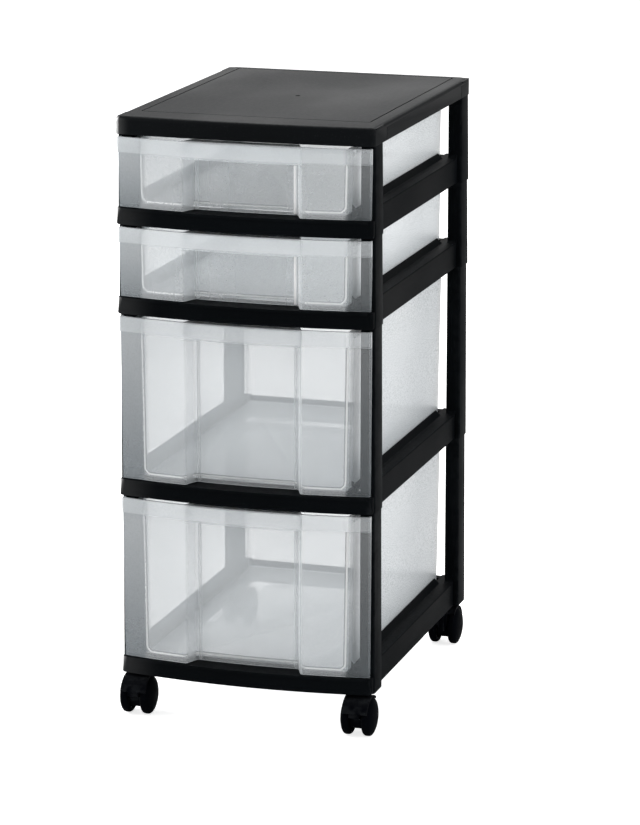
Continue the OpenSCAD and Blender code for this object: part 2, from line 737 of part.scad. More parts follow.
top_cap();
tier_frame(top_z, shallow_tier_h);  // top_tier_frame
tier_frame(upper_z, shallow_tier_h);  // upper_tier_frame
tier_frame(lower_z, deep_tier_h);  // lower_tier_frame
base_tier_frame();
drawer(top_z, shallow_tier_h);  // top_shallow_drawer
drawer(upper_z, shallow_tier_h);  // second_shallow_drawer
drawer(lower_z, deep_tier_h);  // upper_deep_drawer
drawer(base_z, deep_tier_h);  // bottom_deep_drawer
caster_stem(-1, true);  // front_left_caster_stem
caster_grip_ring(-1, true);  // front_left_caster_grip_ring
caster_housing(-1, true);  // front_left_caster_housing
caster_axle(-1, true);  // front_left_caster_axle
caster_wheel(-1, true, 1);  // front_left_caster_outer_wheel
caster_wheel(-1, true, -1);  // front_left_caster_inner_wheel
caster_stem(1, true);  // front_right_caster_stem
caster_grip_ring(1, true);  // front_right_caster_grip_ring
caster_housing(1, true);  // front_right_caster_housing
caster_axle(1, true);  // front_right_caster_axle
caster_wheel(1, true, 1);  // front_right_caster_outer_wheel
caster_wheel(1, true, -1);  // front_right_caster_inner_wheel
caster_stem(-1, false);  // rear_left_caster_stem
caster_grip_ring(-1, false);  // rear_left_caster_grip_ring
caster_housing(-1, false);  // rear_left_caster_housing
caster_axle(-1, false);  // rear_left_caster_axle
caster_wheel(-1, false, 1);  // rear_left_caster_outer_wheel
caster_wheel(-1, false, -1);  // rear_left_caster_inner_wheel
caster_stem(1, false);  // rear_right_caster_stem
caster_grip_ring(1, false);  // rear_right_caster_grip_ring
caster_housing(1, false);  // rear_right_caster_housing
caster_axle(1, false);  // rear_right_caster_axle
caster_wheel(1, false, 1);  // rear_right_caster_outer_wheel
caster_wheel(1, false, -1);  // rear_right_caster_inner_wheel
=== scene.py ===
"""The looks of a plastic drawer tower on casters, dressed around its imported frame.

Everything is in metres: X runs across the front, the drawers face -Y, and Z is up.
"""

from __future__ import annotations

import json
import logging
import math
from dataclasses import dataclass, field
from enum import Enum
from typing import Union

import bmesh
import bpy
from mathutils import Euler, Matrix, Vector

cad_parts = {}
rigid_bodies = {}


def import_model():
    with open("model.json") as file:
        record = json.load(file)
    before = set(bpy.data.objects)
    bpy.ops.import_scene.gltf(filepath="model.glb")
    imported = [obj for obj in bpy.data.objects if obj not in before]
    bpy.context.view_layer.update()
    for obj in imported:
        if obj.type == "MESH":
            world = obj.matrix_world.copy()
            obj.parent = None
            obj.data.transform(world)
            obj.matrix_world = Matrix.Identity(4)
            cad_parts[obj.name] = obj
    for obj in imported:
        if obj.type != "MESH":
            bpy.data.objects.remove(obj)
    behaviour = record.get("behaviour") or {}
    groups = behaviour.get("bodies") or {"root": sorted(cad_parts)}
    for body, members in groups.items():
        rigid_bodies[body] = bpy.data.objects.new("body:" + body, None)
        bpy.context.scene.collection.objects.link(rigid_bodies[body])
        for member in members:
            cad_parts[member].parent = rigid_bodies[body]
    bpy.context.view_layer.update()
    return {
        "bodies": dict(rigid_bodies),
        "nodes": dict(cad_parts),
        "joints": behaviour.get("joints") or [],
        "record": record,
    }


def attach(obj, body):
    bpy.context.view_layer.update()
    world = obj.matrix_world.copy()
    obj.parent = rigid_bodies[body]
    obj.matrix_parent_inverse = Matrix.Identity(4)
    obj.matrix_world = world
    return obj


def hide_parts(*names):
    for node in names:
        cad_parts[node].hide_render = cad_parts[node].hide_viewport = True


log = logging.getLogger("drawer_tower")

MM = 0.001
FRAME_BODY = "tower_frame"
WHITE = (1.0, 1.0, 1.0, 1.0)

Tree = bpy.types.NodeTree
Node = bpy.types.Node
Socket = bpy.types.NodeSocket
Term = Union[float, Socket]
Colour = tuple[float, float, float]
Point = tuple[float, float, float]
Span = tuple[float, float]
Path = list[Point]
Step = tuple[Node, str, str]


class Slot(Enum):
    """The record's material slots."""

    FRAME = "frame_plastic"
    DRAWER = "drawer_plastic"
    CASTER = "caster_plastic"
    STEEL = "steel"


class Corner(Enum):
    """Where a caster stands."""

    FRONT_LEFT = "front_left"
    FRONT_RIGHT = "front_right"
    REAR_LEFT = "rear_left"
    REAR_RIGHT = "rear_right"


# ---- Studio ---------------------------------------------------------------------------------


@dataclass(frozen=True)
class Camera:
    """The photograph's viewpoint, to the front right of the tower and a little above it."""

    place: Point = (1.0835, -3.3782, 1.1509)
    azimuth_deg: float = 17.4
    pitch_deg: float = 13.81
    lens_mm: float = 157.85
    sensor_mm: float = 36.0
    sight: float = 50.0

    def build(self) -> None:
        """Makes the camera and sets it as the scene's own."""
        data = bpy.data.cameras.new("camera")
        data.lens = self.lens_mm
        data.sensor_width = self.sensor_mm
        data.clip_end = self.sight
        camera = bpy.data.objects.new("camera", data)
        camera.location = self.place
        turn = (math.radians(90.0 - self.pitch_deg), 0.0, math.radians(self.azimuth_deg))
        camera.rotation_euler = Euler(turn)
        bpy.context.scene.collection.objects.link(camera)
        bpy.context.scene.camera = camera


@dataclass(frozen=True)
class Lamp:
    """A soft square lamp that looks at a point of the tower."""

    name: str
    place: Point
    size: float
    power: float
    aim: Point = (0.0, 0.0, 0.3)

    def build(self) -> None:
        """Makes the lamp and turns it to its aim."""
        data = bpy.data.lights.new(self.name, "AREA")
        data.size = self.size
        data.energy = self.power
        lamp = bpy.data.objects.new(self.name, data)
        lamp.location = self.place
        look = Vector(self.aim) - Vector(self.place)
        lamp.rotation_euler = look.to_track_quat("-Z", "Y").to_euler()
        bpy.context.scene.collection.objects.link(lamp)


@dataclass(frozen=True)
class Studio:
    """The pale floor, the white surroundings and the lamps."""

    floor_half: float = 6.0
    floor_grey: float = 0.9
    floor_glow: float = 0.72
    floor_roughness: float = 0.9
    floor_gloss: float = 0.1
    sky_strength: float = 0.6
    lamps: tuple[Lamp, ...] = (
        Lamp("key_lamp", (-1.9, -1.5, 2.3), 1.5, 25.0),
        Lamp("side_lamp", (2.6, -0.2, 1.5), 1.6, 25.0),
        Lamp("rear_lamp", (-0.5, 2.4, 2.2), 1.8, 31.0),
        Lamp("left_strip", (-2.1, 0.35, 0.9), 0.9, 36.0),
        Lamp("front_lamp", (-0.3, -3.0, 0.5), 1.6, 2.5),
    )

    def build(self) -> None:
        """Makes the floor, the world and the lamps."""
        self._floor()
        self._world()
        for lamp in self.lamps:
            lamp.build()

    def _floor(self) -> None:
        """Makes the floor."""
        h = self.floor_half
        mesh = bpy.data.meshes.new("floor")
        mesh.from_pydata([(-h, -h, 0), (h, -h, 0), (h, h, 0), (-h, h, 0)], [], [(0, 1, 2, 3)])
        floor = bpy.data.objects.new("floor", mesh)
        bpy.context.scene.collection.objects.link(floor)
        mesh.materials.append(self._paper())

    def _paper(self) -> bpy.types.Material:
        """Makes the floor's white paper, which also glows a little towards the camera.

        Returns:
            The material.
        """
        material = bpy.data.materials.new("floor_paper")
        material.use_nodes = True
        nodes, links = material.node_tree.nodes, material.node_tree.links
        bsdf = nodes["Principled BSDF"]
        bsdf.inputs["Base Color"].default_value = (self.floor_grey,) * 3 + (1.0,)
        bsdf.inputs["Roughness"].default_value = self.floor_roughness
        bsdf.inputs["Specular IOR Level"].default_value = self.floor_gloss
        bsdf.inputs["Emission Color"].default_value = WHITE
        seen = nodes.new("ShaderNodeLightPath")
        glow = nodes.new("ShaderNodeMath")
        glow.operation = "MULTIPLY"
        glow.inputs[1].default_value = self.floor_glow
        links.new(seen.outputs["Is Camera Ray"], glow.inputs[0])
        links.new(glow.outputs[0], bsdf.inputs["Emission Strength"])
        return material

    def _world(self) -> None:
        """Makes the surroundings: white to the camera, dimmer as light."""
        world = bpy.data.worlds.new("surroundings")
        bpy.context.scene.world = world
        world.use_nodes = True
        nodes, links = world.node_tree.nodes, world.node_tree.links
        nodes.clear()
        output = nodes.new("ShaderNodeOutputWorld")
        light = nodes.new("ShaderNodeBackground")
        light.inputs["Strength"].default_value = self.sky_strength
        light.inputs["Color"].default_value = WHITE
        shown = nodes.new("ShaderNodeBackground")
        shown.inputs["Color"].default_value = WHITE
        mix = nodes.new("ShaderNodeMixShader")
        path = nodes.new("ShaderNodeLightPath")
        links.new(path.outputs["Is Camera Ray"], mix.inputs[0])
        links.new(light.outputs[0], mix.inputs[1])
        links.new(shown.outputs[0], mix.inputs[2])
        links.new(mix.outputs[0], output.inputs["Surface"])


# ---- Shader groups --------------------------------------------------------------------------


class ShaderGroups:
    """Shared effects, each built once: surface marks, gloss, and the cover of cloudy plastic."""

    # Each span is what the source value runs through while its mask goes from 0 to 1
    GRAIN: Span = (0.35, 0.65)
    CLOUDS: Span = (0.3, 0.7)
    DUST_SPOTS: Span = (0.1, 0.9)
    FACES_UP: Span = (0.55, 0.98)
    SHARP_EDGES: Span = (0.52, 0.62)
    WORN_PATCHES: Span = (0.35, 0.6)
    FACES_LEFT: Span = (0.12, 0.5)
    STREAKS: Span = (0.66, 0.74)
    LEVEL_FACES: Span = (0.3, 0.9)
    FLOW_STRETCH: Point = (1.0, 0.6, 1.4)
    STREAK_STRETCH: Point = (900.0, 14.0, 900.0)
    GRAZING = 0.06
    BAND_BACK = -158.0 * MM

    def __init__(self) -> None:
        """Starts with no group built."""
        self._built: dict[str, Tree] = {}

    def place(self, tree: Tree, name: str, **values: float) -> Node:
        """Puts a group into a material's tree.

        Args:
            tree: The material's node tree.
            name: The group's name.
            values: The group's inputs, by name, with spaces as underscores.

        Returns:
            The group's node.
        """
        if name not in self._built:
            self._built[name] = getattr(self, f"_{name}")()
        node = tree.nodes.new("ShaderNodeGroup")
        node.node_tree = self._built[name]
        for key, value in values.items():
            node.inputs[key.replace("_", " ")].default_value = value
        return node

    @staticmethod
    def _new(name: str, inputs: dict[str, float], *outputs: str) -> tuple[Tree, dict, dict]:
        """Makes an empty group with float sockets.

        Args:
            name: The group's name.
            inputs: Each input's name and usual value.
            outputs: The outputs' names.

        Returns:
            The tree, the values given to it by name, and the places of its results by name.
        """
        tree = bpy.data.node_groups.new(name, "ShaderNodeTree")
        for key, value in inputs.items():
            socket = tree.interface.new_socket(key, in_out="INPUT", socket_type="NodeSocketFloat")
            socket.default_value = value
        for key in outputs:
            tree.interface.new_socket(key, in_out="OUTPUT", socket_type="NodeSocketFloat")
        start, end = tree.nodes.new("NodeGroupInput"), tree.nodes.new("NodeGroupOutput")
        given = {key: start.outputs[key] for key in inputs}
        return tree, given, {key: end.inputs[key] for key in outputs}

    @staticmethod
    def _noise(tree: Tree, detail: float, stretch: Point = (1, 1, 1)) -> tuple[Socket, Socket]:
        """Adds a noise on Object coordinates.

        Args:
            tree: The group's tree.
            detail: The noise's detail.
            stretch: How the coordinates are scaled first.

        Returns:
            The noise's scale input and its value output.
        """
        place = tree.nodes.new("ShaderNodeTexCoord")
        mapping = tree.nodes.new("ShaderNodeMapping")
        mapping.inputs["Scale"].default_value = stretch
        noise = tree.nodes.new("ShaderNodeTexNoise")
        noise.inputs["Detail"].default_value = detail
        tree.links.new(place.outputs["Object"], mapping.inputs["Vector"])
        tree.links.new(mapping.outputs["Vector"], noise.inputs["Vector"])
        return noise.inputs["Scale"], noise.outputs["Fac"]

    @staticmethod
    def _parts(tree: Tree, kind: str, output: str) -> dict[str, Socket]:
        """Splits a vector into its X, Y and Z.

        Args:
            tree: The group's tree.
            kind: The node that gives the vector.
            output: The vector's output on that node.

        Returns:
            The three outputs, by letter.
        """
        source, parts = tree.nodes.new(kind), tree.nodes.new("ShaderNodeSeparateXYZ")
        tree.links.new(source.outputs[output], parts.inputs[0])
        return {letter: parts.outputs[letter] for letter in "XYZ"}

    def _spot(self, tree: Tree) -> dict[str, Socket]:
        """Gives the place of the shaded point on the piece, in metres.

        Args:
            tree: The group's tree.

        Returns:
            Its X, Y and Z, by letter.
        """
        return self._parts(tree, "ShaderNodeTexCoord", "Object")

    def _normal(self, tree: Tree) -> dict[str, Socket]:
        """Gives the direction in which the surface looks.

        Args:
            tree: The group's tree.

        Returns:
            Its X, Y and Z, by letter.
        """
        return self._parts(tree, "ShaderNodeNewGeometry", "Normal")

    @staticmethod
    def _ramp(tree: Tree, source: Socket, span: Span) -> Socket:
        """Spreads the values of a span over 0 to 1, smoothly.

        Args:
            tree: The group's tree.
            source: The value to spread.
            span: The values that become 0 and 1.

        Returns:
            The spread value.
        """
        node = tree.nodes.new("ShaderNodeMapRange")
        node.interpolation_type = "SMOOTHSTEP"
        node.inputs["From Min"].default_value, node.inputs["From Max"].default_value = span
        tree.links.new(source, node.inputs["Value"])
        return node.outputs["Result"]

    def _past(self, tree: Tree, value: Term, edge: Term, fade: float) -> Socket:
        """1 where a value lies past an edge, 0 before it, and smooth between.

        Args:
            tree: The group's tree.
            value: The value.
            edge: Where the mask begins.
            fade: How far past the edge it reaches 1.

        Returns:
            The mask.
        """
        return self._ramp(tree, self._maths(tree, "SUBTRACT", value, edge), (0.0, fade))

    @staticmethod
    def _maths(tree: Tree, sum_kind: str, a: Term, b: Term) -> Socket:
        """Adds a maths node.

        Args:
            tree: The group's tree.
            sum_kind: The node's operation.
            a: The first number or output.
            b: The second number or output.

        Returns:
            The result.
        """
        node = tree.nodes.new("ShaderNodeMath")
        node.operation = sum_kind
        for place, term in enumerate((a, b)):
            if isinstance(term, Socket):
                tree.links.new(term, node.inputs[place])
            else:
                node.inputs[place].default_value = term
        return node.outputs[0]

    def _times(self, tree: Tree, a: Term, b: Term) -> Socket:
        """Multiplies two values.

        Args:
            tree: The group's tree.
            a: The first number or output.
            b: The second number or output.

        Returns:
            The product.
        """
        return self._maths(tree, "MULTIPLY", a, b)

    def _less(self, tree: Tree, a: Term, b: Term) -> Socket:
        """Takes one value from another.

        Args:
            tree: The group's tree.
            a: The number or output that is lowered.
            b: The number or output that is taken from it.

        Returns:
            The difference.
        """
        return self._maths(tree, "SUBTRACT", a, b)

    def _spark_grain(self) -> Tree:
        """Fine pebbled grain of a spark-eroded mould."""
        tree, given, out = self._new("spark_grain", {"Scale": 1500.0, "Depth": 1.0}, "Height", "Fleck")
        scale, fine = self._noise(tree, 2.0)
        tree.links.new(given["Scale"], scale)
        tree.links.new(self._times(tree, fine, given["Depth"]), out["Height"])
        tree.links.new(self._ramp(tree, fine, self.GRAIN), out["Fleck"])
        return tree

    def _flow_marks(self) -> Tree:
        """Broad, faint clouds where the melt ran and cooled."""
        tree, given, out = self._new("flow_marks", {"Scale": 9.0, "Amount": 1.0}, "Mask")
        scale, cloud = self._noise(tree, 3.0, self.FLOW_STRETCH)
        tree.links.new(given["Scale"], scale)
        spread = self._ramp(tree, cloud, self.CLOUDS)
        tree.links.new(self._times(tree, spread, given["Amount"]), out["Mask"])
        return tree

    def _dust_film(self) -> Tree:
        """Thin dust on faces that look up."""
        tree, given, out = self._new("dust_film", {"Scale": 260.0, "Amount": 0.2}, "Mask")
        scale, cloud = self._noise(tree, 5.0)
        tree.links.new(given["Scale"], scale)
        up = self._ramp(tree, self._normal(tree)["Z"], self.FACES_UP)
        spots = self._ramp(tree, cloud, self.DUST_SPOTS)
        mask = self._times(tree, self._times(tree, up, spots), given["Amount"])
        tree.links.new(mask, out["Mask"])
        return tree

    def _edge_wear(self) -> Tree:
        """Rubbed, slightly paler edges."""
        tree, given, out = self._new("edge_wear", {"Amount": 0.5, "Scale": 120.0}, "Mask")
        geometry = tree.nodes.new("ShaderNodeNewGeometry")
        edge = self._ramp(tree, geometry.outputs["Pointiness"], self.SHARP_EDGES)
        scale, patches = self._noise(tree, 4.0)
        tree.links.new(given["Scale"], scale)
        worn = self._ramp(tree, patches, self.WORN_PATCHES)
        mask = self._times(tree, self._times(tree, edge, worn), given["Amount"])
        tree.links.new(mask, out["Mask"])
        return tree

    def _flank_gloss(self) -> Tree:
        """Painted highlight: gloss raised on faces that look left at the front, such as the rounded left
        ends of the front rails.
        """
        values = {"Gloss": 0.02, "Flank Gloss": 0.5, "Front": -161.5 * MM}
        tree, given, out = self._new("flank_gloss", values, "Gloss")
        leftward = self._times(tree, self._normal(tree)["X"], -1.0)
        ahead = self._past(tree, given["Front"], self._spot(tree)["Y"], 2.0 * MM)
        flank = self._times(tree, self._ramp(tree, leftward, self.FACES_LEFT), ahead)
        more = self._times(tree, flank, self._less(tree, given["Flank Gloss"], given["Gloss"]))
        tree.links.new(self._maths(tree, "ADD", given["Gloss"], more), out["Gloss"])
        return tree

    def _hairlines(self) -> Tree:
        """Fine scratches along the depth, from drawers and boxes that slide over the surface."""
        tree, given, out = self._new("hairlines", {"Scale": 1.0, "Amount": 0.3}, "Mask")
        scale, streaks = self._noise(tree, 1.0, self.STREAK_STRETCH)
        tree.links.new(given["Scale"], scale)
        lines = self._ramp(tree, streaks, self.STREAKS)
        tree.links.new(self._times(tree, lines, given["Amount"]), out["Mask"])
        return tree

    def _slant_cover(self) -> Tree:
        """Cover of a thin cloudy sheet, which grows with the slant, by a power of its own on floors."""
        values = {"Cover": 0.25, "Power": 0.9, "Level Power": 0.5}
        tree, given, out = self._new("slant_cover", values, "Cover")
        weight = tree.nodes.new("ShaderNodeLayerWeight")
        weight.inputs["Blend"].default_value = 0.5
        facing = self._less(tree, 1.0, weight.outputs["Facing"])
        facing = self._maths(tree, "MAXIMUM", facing, self.GRAZING)
        steep = self._maths(tree, "ABSOLUTE", self._normal(tree)["Z"], 0.0)
        more = self._less(tree, given["Level Power"], given["Power"])
        more = self._times(tree, self._ramp(tree, steep, self.LEVEL_FACES), more)
        power = self._maths(tree, "ADD", given["Power"], more)
        path = self._maths(tree, "POWER", self._maths(tree, "DIVIDE", 1.0, facing), power)
        clear = self._maths(tree, "POWER", self._less(tree, 1.0, given["Cover"]), path)
        tree.links.new(self._less(tree, 1.0, clear), out["Cover"])
        return tree

    def _light_pass(self) -> Tree:
        """Lowers a cover for light rays, because a cloudy sheet scatters most light onwards."""
        tree, given, out = self._new("light_pass", {"Cover": 0.5, "Passed": 0.5}, "Cover")
        rays = tree.nodes.new("ShaderNodeLightPath")
        kept = self._less(tree, 1.0, self._times(tree, rays.outputs["Is Shadow Ray"], given["Passed"]))
        tree.links.new(self._times(tree, given["Cover"], kept), out["Cover"])
        return tree

    def _front_wings(self) -> Tree:
        """The ends of a drawer front, for painted shade and light: both, from 0 at the top to 1 at the
        foot, and each one flat.
        """
        values = {"Inner": 100.0 * MM, "Front": -150.0 * MM, "Foot": 0.0, "Height": 100.0 * MM}
        tree, given, out = self._new("front_wings", values, "Mask", "Left", "Right")
        spot = self._spot(tree)
        side = self._maths(tree, "ABSOLUTE", spot["X"], 0.0)
        outer = self._past(tree, side, given["Inner"], 6.0 * MM)
        ahead = self._past(tree, given["Front"], spot["Y"], 4.0 * MM)
        above = self._less(tree, spot["Z"], given["Foot"])
        low = self._less(tree, 1.0, self._maths(tree, "DIVIDE", above, given["Height"]))
        wing = self._times(tree, outer, ahead)
        right = self._times(tree, wing, self._maths(tree, "GREATER_THAN", spot["X"], 0.0))
        tree.links.new(self._times(tree, wing, low), out["Mask"])
        tree.links.new(self._less(tree, wing, right), out["Left"])
        tree.links.new(right, out["Right"])
        return tree

    def _front_band(self) -> Tree:
        """1 on the thick band along the top of a drawer front, 0 elsewhere."""
        tree, given, out = self._new("front_band", {"From": 0.2}, "Mask")
        spot = self._spot(tree)
        high = self._past(tree, spot["Z"], given["From"], 1.0 * MM)
        ahead = self._past(tree, self.BAND_BACK, spot["Y"], 3.0 * MM)
        tree.links.new(self._times(tree, high, ahead), out["Mask"])
        return tree

    def _far_end(self) -> Tree:
        """1 on a drawer's back wall, 0 elsewhere."""
        tree, given, out = self._new("far_end", {"From": 150.0 * MM}, "Mask")
        tree.links.new(self._past(tree, self._spot(tree)["Y"], given["From"], 6.0 * MM), out["Mask"])
        return tree


GROUPS = ShaderGroups()


# ---- Finishes -------------------------------------------------------------------------------


BUMP_STRENGTH = 0.6


def start_material(name: str) -> tuple[bpy.types.Material, Tree, Node]:
    """Makes a material with a Principled BSDF.

    Args:
        name: The material's name.

    Returns:
        The material, its tree and the BSDF node.
    """
    material = bpy.data.materials.new(name)
    material.use_nodes = True
    return material, material.node_tree, material.node_tree.nodes["Principled BSDF"]


def blend_colours(tree: Tree, share: Socket, base: Union[Colour, Socket], other: Colour) -> Socket:
    """Mixes a colour, or a colour output, with another colour.

    Args:
        tree: The material's tree.
        share: How much of the other colour shows.
        base: A colour, or an output that holds one.
        other: The colour that is mixed in.

    Returns:
        The mixed colour.
    """
    mix = tree.nodes.new("ShaderNodeMix")
    mix.data_type = "RGBA"
    tree.links.new(share, mix.inputs["Factor"])
    if isinstance(base, Socket):
        tree.links.new(base, mix.inputs[6])
    else:
        mix.inputs[6].default_value = (*base, 1.0)
    mix.inputs[7].default_value = (*other, 1.0)
    return mix.outputs[2]


def spread_value(tree: Tree, share: Socket, low: float, high: float) -> Socket:
    """Turns a mask into a value from low to high.

    Args:
        tree: The material's tree.
        share: The mask.
        low: The value where the mask is 0.
        high: The value where the mask is 1.

    Returns:
        The value.
    """
    node = tree.nodes.new("ShaderNodeMapRange")
    node.inputs["To Min"].default_value = low
    node.inputs["To Max"].default_value = high
    tree.links.new(share, node.inputs["Value"])
    return node.outputs["Result"]


def add_share(tree: Tree, value: Socket, mask: Socket, amount: float) -> Socket:
    """Raises a value where a mask shows.

    Args:
        tree: The material's tree.
        value: The value.
        mask: The mask.
        amount: How much is added where the mask is 1.

    Returns:
        The raised value.
    """
    node = tree.nodes.new("ShaderNodeMath")
    node.operation = "MULTIPLY_ADD"
    node.inputs[1].default_value = amount
    tree.links.new(mask, node.inputs[0])
    tree.links.new(value, node.inputs[2])
    return node.outputs[0]


def add_bump(tree: Tree, bsdf: Node, height: Socket, depth: float) -> None:
    """Feeds a height into the surface's normal.

    Args:
        tree: The material's tree.
        bsdf: The BSDF node.
        height: The height, from 0 to 1.
        depth: The height's depth in metres.
    """
    bump = tree.nodes.new("ShaderNodeBump")
    bump.inputs["Distance"].default_value = depth
    bump.inputs["Strength"].default_value = BUMP_STRENGTH
    tree.links.new(height, bump.inputs["Height"])
    tree.links.new(bump.outputs["Normal"], bsdf.inputs["Normal"])


@dataclass(frozen=True)
class MouldedBlack:
    """Satin black moulded plastic with a fine grain, a little dust and rubbed edges."""

    name: str
    colour: Colour = (0.0020, 0.0026, 0.0032)
    rubbed: Colour = (0.022, 0.024, 0.026)
    dust: Colour = (0.10, 0.105, 0.11)
    roughness: Span = (0.46, 0.58)
    gloss: float = 0.012
    # painted highlight: the gloss of faces that look left at the front
    flank_gloss: float = 4.5
    grain_scale: float = 1800.0
    grain_depth: float = 0.00004
    dust_amount: float = 0.08
    wear_amount: float = 0.35
    scratch_amount: float = 0.12
    flow_scale: float = 7.0
    flow_lift: float = 1.5

    def build(self) -> bpy.types.Material:
        """Makes the material.

        Returns:
            The material.
        """
        material, tree, bsdf = start_material(self.name)
        grain = GROUPS.place(tree, "spark_grain", Scale=self.grain_scale)
        flow = GROUPS.place(tree, "flow_marks", Scale=self.flow_scale)
        dust = GROUPS.place(tree, "dust_film", Amount=self.dust_amount)
        wear = GROUPS.place(tree, "edge_wear", Amount=self.wear_amount)
        lines = GROUPS.place(tree, "hairlines", Amount=self.scratch_amount)
        lifted = tuple(self.flow_lift * c for c in self.colour)
        colour = blend_colours(tree, flow.outputs["Mask"], self.colour, lifted)
        colour = blend_colours(tree, wear.outputs["Mask"], colour, self.rubbed)
        colour = blend_colours(tree, lines.outputs["Mask"], colour, self.rubbed)
        colour = blend_colours(tree, dust.outputs["Mask"], colour, self.dust)
        tree.links.new(colour, bsdf.inputs["Base Color"])
        rough = spread_value(tree, flow.outputs["Mask"], *self.roughness)
        tree.links.new(rough, bsdf.inputs["Roughness"])
        # painted highlight: higher gloss on left-facing front faces
        gloss = GROUPS.place(tree, "flank_gloss", Gloss=self.gloss, Flank_Gloss=self.flank_gloss)
        tree.links.new(gloss.outputs["Gloss"], bsdf.inputs["Specular IOR Level"])
        add_bump(tree, bsdf, grain.outputs["Height"], self.grain_depth)
        return material


@dataclass(frozen=True)
class FrostedClear:
    """Translucent, faintly frosted plastic. Each wall has two surfaces, and both are part clear.

    Each cover but the first is added to it in one place: the back wall, the front's left and right
    end, its upper band and the scratches. One colour is painted shade at the foot of the front's
    ends, darker towards the foot. The left and right end covers are painted light and shade: more
    cover shows the left end lighter, and less lets the black post behind show the right end darker.
    """

    name: str
    colour: Colour = (0.88, 0.915, 0.935)
    cloud: Colour = (0.81, 0.85, 0.875)
    # painted shade: the colour at the foot of the front's ends
    painted_foot_shade: Colour = (0.40, 0.44, 0.465)
    cover: Span = (0.235, 0.25)
    slant_power: float = 0.9
    level_power: float = 1.1
    far_cover: float = 0.18
    # painted light on the front's left end (more cover) and painted shade on its right end (less cover)
    painted_light_left_cover: float = 0.11
    painted_shade_right_cover: float = -0.105
    band: float = 15.0 * MM
    band_cover: float = 0.14
    scratch_amount: float = 0.25
    scratch_cover: float = 0.12
    foot: float = 0.0
    height: float = 0.1
    roughness: Span = (0.26, 0.30)
    gloss: float = 0.5
    glint: float = 0.0
    passed: float = 0.3
    flow_scale: float = 6.0
    frost_scale: float = 900.0
    frost_depth: float = 0.000003

    def build(self) -> bpy.types.Material:
        """Makes the material.

        Returns:
            The material.
        """
        material, tree, bsdf = start_material(self.name)
        frost = GROUPS.place(tree, "spark_grain", Scale=self.frost_scale)
        flow = GROUPS.place(tree, "flow_marks", Scale=self.flow_scale)
        lines = GROUPS.place(tree, "hairlines", Amount=self.scratch_amount)
        wings = GROUPS.place(tree, "front_wings", Foot=self.foot, Height=self.height)
        far = GROUPS.place(tree, "far_end")
        colour = blend_colours(tree, flow.outputs["Mask"], self.colour, self.cloud)
        # painted shade, darker towards the foot of the front's ends
        colour = blend_colours(tree, wings.outputs["Mask"], colour, self.painted_foot_shade)
        tree.links.new(colour, bsdf.inputs["Base Color"])
        cover = spread_value(tree, flow.outputs["Mask"], *self.cover)
        cover = add_share(tree, cover, lines.outputs["Mask"], self.scratch_cover)
        cover = add_share(tree, cover, far.outputs["Mask"], self.far_cover)
        # painted light on the left end, painted shade on the right end
        cover = add_share(tree, cover, wings.outputs["Left"], self.painted_light_left_cover)
        cover = add_share(tree, cover, wings.outputs["Right"], self.painted_shade_right_cover)
        band = GROUPS.place(tree, "front_band", From=self.foot + self.height - self.band)
        cover = add_share(tree, cover, band.outputs["Mask"], self.band_cover)
        slant = GROUPS.place(tree, "slant_cover", Power=self.slant_power, Level_Power=self.level_power)
        tree.links.new(cover, slant.inputs["Cover"])
        lit = GROUPS.place(tree, "light_pass", Passed=self.passed)
        tree.links.new(slant.outputs["Cover"], lit.inputs["Cover"])
        tree.links.new(lit.outputs["Cover"], bsdf.inputs["Alpha"])
        rough = spread_value(tree, frost.outputs["Fleck"], *self.roughness)
        tree.links.new(rough, bsdf.inputs["Roughness"])
        bsdf.inputs["Specular IOR Level"].default_value = self.gloss
        bsdf.inputs["Metallic"].default_value = self.glint
        add_bump(tree, bsdf, frost.outputs["Height"], self.frost_depth)
        return material


@dataclass(frozen=True)
class PlatedSteel:
    """Zinc-plated steel with fine turning marks."""

    name: str
    colour: Colour = (0.58, 0.58, 0.60)
    stain: Colour = (0.40, 0.39, 0.38)
    roughness: Span = (0.24, 0.40)
    grain_scale: float = 3000.0
    grain_depth: float = 0.00002
    flow_scale: float = 160.0

    def build(self) -> bpy.types.Material:
        """Makes the material.

        Returns:
            The material.
        """
        material, tree, bsdf = start_material(self.name)
        grain = GROUPS.place(tree, "spark_grain", Scale=self.grain_scale)
        flow = GROUPS.place(tree, "flow_marks", Scale=self.flow_scale)
        colour = blend_colours(tree, flow.outputs["Mask"], self.colour, self.stain)
        tree.links.new(colour, bsdf.inputs["Base Color"])
        rough = spread_value(tree, grain.outputs["Fleck"], *self.roughness)
        tree.links.new(rough, bsdf.inputs["Roughness"])
        bsdf.inputs["Metallic"].default_value = 1.0
        add_bump(tree, bsdf, grain.outputs["Height"], self.grain_depth)
        return material


@dataclass(frozen=True)
class RollClear(FrostedClear):
    """Clear plastic of the rolls along a drawer's seams, the same at every height."""

    far_cover: float = 0.0
    band_cover: float = 0.0


